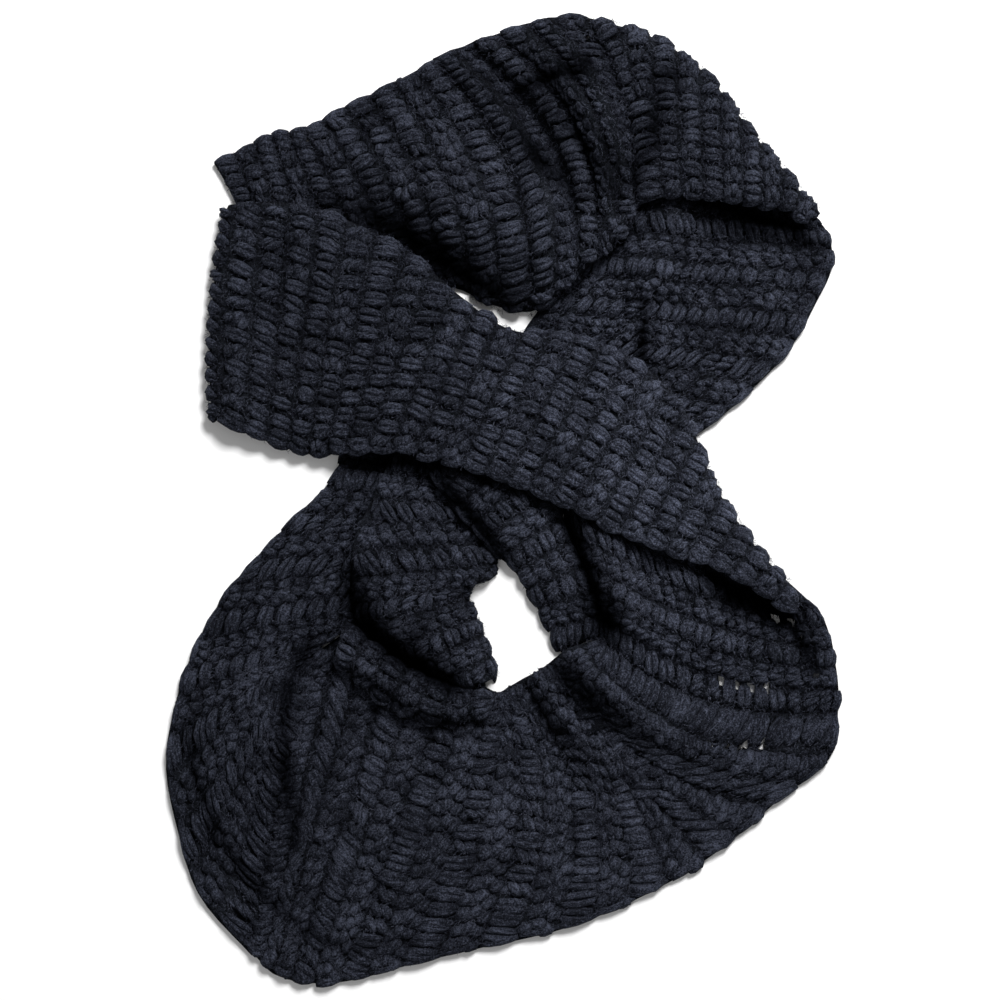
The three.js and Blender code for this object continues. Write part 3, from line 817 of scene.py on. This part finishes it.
def placed(surface, pick, x, y, flip):
    """Where a strand's points lie on the surface, as shares across the band and
    distances along it: the strand keeps its own form, and points along the cell. In
    cells that a fold squeezes flat it takes the cell's form."""
    u, v = x / STITCH_PITCH + 0.5, y / ROW_HEIGHT + 0.5
    w0 = pick["w00"][:, None] * (1 - u) + pick["w01"][:, None] * u
    w1 = pick["w10"][:, None] * (1 - u) + pick["w11"][:, None] * u
    bent_share = w0 * (1 - v) + w1 * v
    bent_distance = pick["d0"][:, None] * (1 - v) + pick["d1"][:, None] * v
    share = (pick["w00"] + pick["w01"] + pick["w10"] + pick["w11"]) / 4
    distance = (pick["d0"] + pick["d1"]) / 2
    rise = (pick["w10"] + pick["w11"] - pick["w00"] - pick["w01"]) / 2
    reach = pick["d1"] - pick["d0"]
    spread = np.abs(pick["w01"] + pick["w11"] - pick["w00"] - pick["w10"]) / 2
    step = np.array([-0.5, 0.5])[:, None]
    still = 0 * step
    run = np.diff(points_at(surface, distance + step, share + still), axis=0)[0]
    ahead = np.diff(points_at(surface, distance + reach * step, share + rise * step), axis=0)[0]
    near = points_at(surface, distance + still, share + SHARE_STEP * step)
    wide = np.diff(near, axis=0)[0] / SHARE_STEP
    tall = np.linalg.norm(ahead, axis=-1)
    ahead = unit(ahead)
    aside = wide - ahead * (wide * ahead).sum(axis=-1, keepdims=True)
    broad = np.linalg.norm(aside, axis=-1) * spread
    aside = unit(aside) * (-1 if flip else 1)
    x = x * np.clip(broad / STITCH_PITCH, *BREADTH_RANGE)[:, None]
    y = y * np.clip(tall / ROW_HEIGHT, *LENGTH_RANGE)[:, None]
    offset = x[..., None] * aside[:, None] + y[..., None] * ahead[:, None]
    ww, wr, rr = (
        (first * second).sum(axis=-1)[:, None]
        for first, second in ((wide, wide), (wide, run), (run, run))
    )
    on_wide = (offset * wide[:, None]).sum(axis=-1)
    on_run = (offset * run[:, None]).sum(axis=-1)
    area = ww * rr - wr * wr
    square = area > LEAST_SQUARE * ww * rr
    area = np.where(square, area, 1)
    own_share = share[:, None] + (on_wide * rr - on_run * wr) / area
    own_distance = distance[:, None] + (on_run * ww - on_wide * wr) / area
    return (
        np.where(square, own_share, bent_share),
        np.where(square, own_distance, bent_distance),
    )


def strand_batch(surface, cells, chosen, template, rng, mirrored=False, sunk=1.0, lean=0.0):
    """The template's strands in each chosen cell, each a little different, laid on the
    cloth and sunk at the lines between rows."""
    pick = {key: cells[key][chosen] for key in ("d0", "d1", "w00", "w01", "w10", "w11")}
    count = int(chosen.sum())
    points, places = template["points"], template["places"]
    flip = (pick["w01"] < pick["w00"])[0]
    scale = 1 + rng.normal(0, SIZE_CHANCE, (count, 3))
    shift = rng.normal(0, PLACE_CHANCE, (count, 2))
    turn = rng.normal(lean, TURN_CHANCE, count)[:, None]
    x = points[None, :, 0] - STITCH_PITCH / 2
    y = points[None, :, 1] - ROW_HEIGHT / 2
    if mirrored:
        x = -x
    x, y = (
        x * scale[:, :1] - y * turn + shift[:, :1],
        y * scale[:, 1:2] + x * turn + shift[:, 1:],
    )
    v = y / ROW_HEIGHT + 0.5
    groove = sunk * ROW_GROOVE * np.clip(np.abs(2 * v - 1), 0, 1.1) ** 3
    lumps = rng.normal(0, YARN_LUMPS, (count, len(points)))
    h = points[None, :, 2] * scale[:, 2:] - groove + lumps
    share, distance = placed(surface, pick, x, y, flip)
    base, normal = on_surface(surface, distance, share)
    out = (base + normal * h[..., None]).reshape(-1, 3)
    size = len(points)
    tris = template["faces"][:, ::-1] if mirrored != flip else template["faces"]
    faces = (tris[None] + (np.arange(count) * size)[:, None, None]).reshape(-1, 3)
    uv = np.broadcast_to(places, (count, size, 2)) + rng.uniform(0, PATTERN_SPREAD, (count, 1, 2))
    tone = np.repeat(rng.normal(0, 1, count), size)
    return out, faces, uv.reshape(-1, 2), tone, row_painted_light(v).ravel()


def stitches_of(stretch, surface, cells, rng):
    """All strands of a stretch: posts of three kinds, low lumps in the flatter rows, and
    loops along the selvedges."""
    proud = cells["proud"]
    proud = proud | (rng.uniform(0, 1, len(proud)) < stretch.get("filled", 0))
    draw = rng.uniform(0, 1, len(proud))
    beans = stretch.get("beans", BEAN_SHARE)
    eyes = beans + EYE_SHARE * (1 - beans)
    lean = stretch.get("lean", 0)
    batches = [
        strand_batch(surface, cells, chosen, template, rng, lean=lean)
        for chosen, template in (
            (proud & (draw < beans), BEAN_POST),
            (proud & (draw >= beans) & (draw < eyes), EYE_POST),
            (proud & (draw >= eyes), TWIST_POST),
            (~proud, LUMPS),
        )
    ]
    counted = stretch["counted_from"]
    if counted in stretch["selvedges"]:
        batches.append(
            strand_batch(surface, cells, cells["first"], EDGE_LOOP, rng, sunk=LOOP_SUNK)
        )
    other = "inner" if counted == "outer" else "outer"
    if other in stretch["selvedges"]:
        batches.append(
            strand_batch(surface, cells, cells["last"], EDGE_LOOP, rng, True, LOOP_SUNK)
        )
    return joined(batches)


def joined(batches):
    """Several batches as one: points, faces, places in the pattern, tone and painted light."""
    faces = []
    count = 0
    for batch in batches:
        faces.append(batch[1] + count)
        count += len(batch[0])
    points, _, places, tone, light = (np.concatenate(part) for part in zip(*batches))
    return points, np.concatenate(faces), places, tone, light


def open_in_slits(corners):
    """Which faces, by their corners in plan, lie over a place along a slit."""
    opened = np.zeros(len(corners), bool)
    for x, y in SLITS:
        near = np.flatnonzero(np.hypot(*(corners.mean(axis=1) - (x, y)).T) < SLIT_REACH)
        for along in np.linspace(-SLIT_LENGTH / 2, SLIT_LENGTH / 2, SLIT_PLACES):
            to = corners[near] - (x, y + along)
            after = np.roll(to, -1, 1)
            turns = to[:, :, 0] * after[:, :, 1] - to[:, :, 1] * after[:, :, 0]
            opened[near] |= (turns > 0).all(axis=1) | (turns < 0).all(axis=1)
    return opened


def parted(data):
    """Strands or fibres without what lies over the slits."""
    points, faces = data[:2]
    return points, faces[~open_in_slits(points[faces][:, :, :2])], *data[2:]


def ground_of(surface, overhang):
    """Thin closed cloth in the middle of the wall, under the stitches, with the slits
    cut through it."""
    steps = max(round(surface["steps"] / 2), 4)
    past = overhang / surface["arcs"][:, -1].mean()
    d, w = np.meshgrid(
        np.linspace(0, surface["length"], steps + 1),
        np.linspace(-past, 1 + past, GROUND_ACROSS + 1),
        indexing="ij",
    )
    base, normal = on_surface(surface, d.ravel(), w.ravel())
    points = np.concatenate([base + normal * GROUND_HALF, base - normal * GROUND_HALF])
    size = GROUND_ACROSS + 1
    under = len(base)
    i, j = np.meshgrid(np.arange(steps), np.arange(GROUND_ACROSS), indexing="ij")
    a = (i * size + j).ravel()
    b = a + size
    pierced = open_in_slits(points[np.stack([a, b, b + 1, a + 1], axis=1)][:, :, :2])
    faces = []
    for corner, turn in ((a, b), (b, b + 1), (b + 1, a + 1), (a + 1, a)):
        p, q = corner[pierced], turn[pierced]
        faces += [(p, under + p, under + q), (p, under + q, q)]
    a, b = a[~pierced], b[~pierced]
    faces += [(a, b, b + 1), (a, b + 1, a + 1)]
    faces += [(under + a, under + b + 1, under + b), (under + a, under + a + 1, under + b + 1)]
    a = np.arange(steps) * size
    b = a + size
    faces += [(a, under + a, under + b), (a, under + b, b)]
    a, b = a + GROUND_ACROSS, b + GROUND_ACROSS
    faces += [(a, b, under + b), (a, under + b, under + a)]
    a = np.arange(GROUND_ACROSS)
    faces += [(a, a + 1, under + a + 1), (a, under + a + 1, under + a)]
    a = a + steps * size
    faces += [(a, under + a, under + a + 1), (a, under + a + 1, a + 1)]
    tris = np.concatenate([np.stack(face, axis=1) for face in faces])
    places = np.tile(np.stack([d.ravel(), w.ravel() * BAND_WIDTH], axis=1), (2, 1))
    return points, tris, places, np.zeros(len(points)), np.ones(len(points))


def fibres_of(surface, cells, rng):
    """Loose fibres that stand off the stitches, as short curved slivers."""
    count = len(cells["d0"]) * FIBRES_PER_STITCH
    pick = rng.integers(0, len(cells["d0"]), count)
    u, v = rng.uniform(0.05, 0.95, count), rng.uniform(0, 1, count)
    w0 = cells["w00"][pick] * (1 - u) + cells["w01"][pick] * u
    w1 = cells["w10"][pick] * (1 - u) + cells["w11"][pick] * u
    share = w0 * (1 - v) + w1 * v
    distance = cells["d0"][pick] * (1 - v) + cells["d1"][pick] * v
    keys = ("points", "normals", "along", "across")
    base, normal, along, across = on_surface(surface, distance, share, keys)
    angle = rng.uniform(0, 2 * math.pi, count)[:, None]
    flat = along * np.cos(angle) + across * np.sin(angle)
    bent = along * np.cos(angle + FIBRE_BEND) + across * np.sin(angle + FIBRE_BEND)
    lean = rng.uniform(*FIBRE_LEANS, count)[:, None]
    length = rng.uniform(*FIBRE_LENGTHS, count)[:, None]
    root = base + normal * rng.uniform(*FIBRE_ROOTS, count)[:, None]
    first = unit(flat + normal * lean)
    second = unit(bent + normal * (lean - FIBRE_DROOP))
    middle = root + first * length * FIBRE_MIDDLE
    tip = middle + second * length * (1 - FIBRE_MIDDLE)
    aside = unit(np.cross(first, normal)) * FIBRE_WIDTH / 2
    points = np.stack(
        [root - aside, root + aside, middle - aside * 0.8, middle + aside * 0.8, tip], axis=1
    ).reshape(-1, 3)
    sliver = np.array([(0, 1, 3), (0, 3, 2), (2, 3, 4)])
    faces = (sliver[None] + (np.arange(count) * 5)[:, None, None]).reshape(-1, 3)
    places = np.zeros((count * 5, 2))
    tone = np.repeat(rng.normal(0, 1, count), 5)
    return points, faces, places, tone, np.repeat(row_painted_light(v), 5)


def felt_of(sewn, rng, stitches):
    """Short fibres felted on the sewn strands, one thin triangle each."""
    points, faces, _, _, light = sewn
    picked = faces[rng.integers(0, len(faces), stitches * FELT_PER_STITCH)]
    corners = points[picked]
    along = unit(corners[:, 1] - corners[:, 0])
    normal = unit(np.cross(along, corners[:, 2] - corners[:, 0]))
    seen = normal[:, 2] > FELT_FACING
    picked, corners, along, normal = (part[seen] for part in (picked, corners, along, normal))
    count = len(picked)
    weights = rng.dirichlet((1, 1, 1), count)
    root = (corners * weights[..., None]).sum(axis=1)
    angle = rng.uniform(0, 2 * math.pi, count)[:, None]
    flat = along * np.cos(angle) + np.cross(normal, along) * np.sin(angle)
    lean = rng.uniform(*FELT_LEANS, count)[:, None]
    tip = root + unit(flat + normal * lean) * rng.uniform(*FELT_LENGTHS, count)[:, None]
    aside = np.cross(flat, normal) * FELT_WIDTH / 2
    out = np.stack([root - aside, root + aside, tip], axis=1).reshape(-1, 3)
    tone = np.repeat(rng.normal(0, FELT_TONE, count), 3)
    light = np.repeat((light[picked] * weights).sum(axis=1), 3)
    return out, np.arange(count * 3).reshape(-1, 3), np.zeros((count * 3, 2)), tone, light


# Materials: heathered navy wool


def link(tree, source, target):
    tree.links.new(source, target)


def ramp_node(tree, stops):
    """Colour ramp through stops, each a place and a colour."""
    stops = list(stops)
    ramp = tree.nodes.new("ShaderNodeValToRGB")
    elements = ramp.color_ramp.elements
    while len(elements) < len(stops):
        elements.new(0.5)
    for element, (place, colour) in zip(elements, stops):
        element.position = place
        element.color = (*colour, 1)
    return ramp


def noise_node(tree, coordinates, scale, detail, roughness):
    noise = tree.nodes.new("ShaderNodeTexNoise")
    noise.inputs["Scale"].default_value = scale
    noise.inputs["Detail"].default_value = detail
    noise.inputs["Roughness"].default_value = roughness
    link(tree, coordinates, noise.inputs["Vector"])
    return noise.outputs["Fac"]


def attribute_node(tree, name):
    attribute = tree.nodes.new("ShaderNodeAttribute")
    attribute.attribute_name = name
    return attribute.outputs["Fac"]


def math_node(tree, operation, first, second):
    node = tree.nodes.new("ShaderNodeMath")
    node.operation = operation
    for socket, value in zip(node.inputs, (first, second)):
        if isinstance(value, (int, float)):
            socket.default_value = value
        else:
            link(tree, value, socket)
    return node.outputs[0]


def wool_material(name, colours, bump_depth, sheen, painted_shade_power):
    """Wool of dark and pale fibres: speckle, streaks along the yarn, uneven dye. Shade in
    gaps and hollows is painted into its colour, gloss and sheen, with the painted shade
    attribute."""
    material = bpy.data.materials.new(name)
    material.use_nodes = True
    tree = material.node_tree
    shader = tree.nodes["Principled BSDF"]
    coordinates = tree.nodes.new("ShaderNodeTexCoord")
    place = coordinates.outputs["Object"]
    speckle = noise_node(tree, place, SPECKLE_SCALE, 3.0, 0.9)
    patches = noise_node(tree, place, PATCH_SCALE, 2.0, 0.5)
    stretched = tree.nodes.new("ShaderNodeMapping")
    stretched.inputs["Scale"].default_value = STREAK_STRETCH
    link(tree, coordinates.outputs["UV"], stretched.inputs["Vector"])
    streaks = noise_node(tree, stretched.outputs["Vector"], STREAK_SCALE, 2.0, 0.6)
    tone = attribute_node(tree, "tone")
    uneven = math_node(tree, "SUBTRACT", patches, 0.5)
    fibres = math_node(tree, "MULTIPLY", speckle, SPECKLE_SHARE)
    for part, strength in (
        (streaks, STREAK_SHARE), (uneven, PATCH_STRENGTH), (tone, TONE_STRENGTH)
    ):
        fibres = math_node(tree, "ADD", fibres, math_node(tree, "MULTIPLY", part, strength))
    dyed = ramp_node(tree, zip(COLOUR_PLACES, colours))
    link(tree, fibres, dyed.inputs["Fac"])
    # Painted shade: occlusion darkens the colour, gloss and sheen in gaps and hollows, with the
    # painted shade attribute
    hollow = tree.nodes.new("ShaderNodeAmbientOcclusion")
    hollow.samples = HOLLOW_RAYS
    hollow.inputs["Distance"].default_value = HOLLOW_REACH
    painted_shade = math_node(tree, "POWER", hollow.outputs["AO"], painted_shade_power)
    painted_shade = math_node(tree, "MULTIPLY", painted_shade, attribute_node(tree, "shade"))
    shaded = tree.nodes.new("ShaderNodeVectorMath")
    shaded.operation = "SCALE"
    link(tree, dyed.outputs["Color"], shaded.inputs[0])
    link(tree, painted_shade, shaded.inputs["Scale"])
    link(tree, shaded.outputs["Vector"], shader.inputs["Base Color"])
    polished = math_node(tree, "MULTIPLY", speckle, SPECKLE_POLISH)
    rough = math_node(tree, "ADD", polished, ROUGHNESS)
    link(tree, rough, shader.inputs["Roughness"])
    bump = tree.nodes.new("ShaderNodeBump")
    bump.inputs["Strength"].default_value = BUMP_STRENGTH
    bump.inputs["Distance"].default_value = bump_depth
    link(tree, math_node(tree, "ADD", speckle, streaks), bump.inputs["Height"])
    link(tree, bump.outputs["Normal"], shader.inputs["Normal"])
    link(tree, math_node(tree, "MULTIPLY", painted_shade, GLOSS), shader.inputs["Specular IOR Level"])
    link(tree, math_node(tree, "MULTIPLY", painted_shade, sheen), shader.inputs["Sheen Weight"])
    shader.inputs["Sheen Roughness"].default_value = SHEEN_ROUGHNESS
    shader.inputs["Sheen Tint"].default_value = SHEEN_TINT
    return material


def write_mesh(name, data, shade, material):
    """A piece of the scarf, in metres, with its pattern, tone and painted shade."""
    points, faces, places, tone, light = data
    points[:, 2] = np.maximum(points[:, 2], FLOOR_GAP)
    mesh = bpy.data.meshes.new(name)
    corners = faces.astype(np.int32).ravel()
    mesh.vertices.add(len(points))
    mesh.vertices.foreach_set("co", (points * MM).astype(np.float32).ravel())
    mesh.loops.add(len(corners))
    mesh.loops.foreach_set("vertex_index", corners)
    mesh.polygons.add(len(faces))
    mesh.polygons.foreach_set("loop_start", np.arange(0, len(corners), 3, dtype=np.int32))
    mesh.update(calc_edges=True)
    mesh.shade_smooth()
    layer = mesh.uv_layers.new(name="yarn")
    layer.uv.foreach_set("vector", places[corners].astype(np.float32).ravel())
    for attribute, values in (("tone", tone), ("shade", shade * light)):
        layer = mesh.attributes.new(attribute, "FLOAT", "POINT")
        layer.data.foreach_set("value", values.astype(np.float32))
    mesh.materials.append(material)
    piece = bpy.data.objects.new(name, mesh)
    bpy.context.scene.collection.objects.link(piece)
    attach(piece, "root")
    return piece


yarn = wool_material(
    "heathered_yarn",
    ((0.0036, 0.0041, 0.0062), (0.0138, 0.0157, 0.0236), (0.058, 0.065, 0.093)),
    bump_depth=0.0014, sheen=0.10, painted_shade_power=0.7,
)
# Painted shade: the ground's colours are far darker than the yarn's, for the recess under the
# stitches
shaded_ground_yarn = wool_material(
    "painted_shade_ground", ((0.002, 0.0022, 0.003), (0.006, 0.007, 0.010), (0.020, 0.023, 0.031)),
    bump_depth=0.0005, sheen=0.0, painted_shade_power=1.25,
)
fibre_yarn = wool_material(
    "loose_fibres", ((0.008, 0.009, 0.014), (0.025, 0.028, 0.042), (0.092, 0.100, 0.136)),
    bump_depth=0.0001, sheen=0.10, painted_shade_power=1.0,
)

# The scarf itself: for each stretch its ground, stitches and fibres
for number, stretch in enumerate(STRETCHES):
    rng = np.random.default_rng(SEED + number)
    surface = surface_of(stretch)
    cells = cells_of(stretch, surface)
    name = stretch["name"]
    sewn = parted(stitches_of(stretch, surface, cells, rng))
    loose = parted(fibres_of(surface, cells, rng))
    felt = felt_of(sewn, rng, len(cells["d0"]))
    overhang = stretch.get("overhang", GROUND_OVERHANG)
    pieces = (
        ("_ground", ground_of(surface, overhang), shaded_ground_yarn),
        ("_stitches", sewn, yarn),
        ("_fibres", joined([loose, felt]), fibre_yarn),
    )
    ground, stitches, fibres = (
        write_mesh(name + ending, data, shade_at(stretch, data[0]), material)
        for ending, data, material in pieces
    )
    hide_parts(name)


# Floor, light and camera


def plain_material(name, colour, roughness):
    material = bpy.data.materials.new(name)
    material.use_nodes = True
    shader = material.node_tree.nodes["Principled BSDF"]
    shader.inputs["Base Color"].default_value = (*colour, 1)
    shader.inputs["Roughness"].default_value = roughness
    return material


floor_mesh = bpy.data.meshes.new("floor")
floor_corners = [
    (x * FLOOR_REACH, y * FLOOR_REACH, 0) for x, y in ((-1, -1), (1, -1), (1, 1), (-1, 1))
]
floor_mesh.from_pydata(floor_corners, [], [(0, 1, 2, 3)])
floor_mesh.materials.append(plain_material("pale_floor", FLOOR_COLOUR, FLOOR_ROUGHNESS))
floor = bpy.data.objects.new("floor", floor_mesh)
bpy.context.scene.collection.objects.link(floor)


def area_light(name, location, size, power):
    """Square light that points at the middle of the scarf."""
    data = bpy.data.lights.new(name, "AREA")
    data.shape = "SQUARE"
    data.size = size
    data.energy = power
    light = bpy.data.objects.new(name, data)
    light.location = location
    aim = Vector((0, 0, 0)) - Vector(location)
    light.rotation_euler = aim.to_track_quat("-Z", "Y").to_euler()
    bpy.context.scene.collection.objects.link(light)


area_light("key", **KEY_LIGHT)
area_light("fill", **FILL_LIGHT)

world = bpy.data.worlds.new("studio")
world.use_nodes = True
background = world.node_tree.nodes["Background"]
background.inputs["Color"].default_value = (1, 1, 1, 1)
background.inputs["Strength"].default_value = STUDIO_LIGHT
bpy.context.scene.world = world
bpy.context.scene.view_settings.view_transform = "Standard"

camera_data = bpy.data.cameras.new("camera")
camera_data.sensor_width = SENSOR_WIDTH
camera_data.lens = SENSOR_WIDTH * CAMERA_DISTANCE / VIEW_WIDTH
camera = bpy.data.objects.new("camera", camera_data)
towards = Vector((0, -math.cos(CAMERA_RISE), math.sin(CAMERA_RISE)))
camera.location = VIEW_CENTRE + towards * CAMERA_DISTANCE
camera.rotation_euler = (-towards).to_track_quat("-Z", "Y").to_euler()
bpy.context.scene.collection.objects.link(camera)
bpy.context.scene.camera = camera
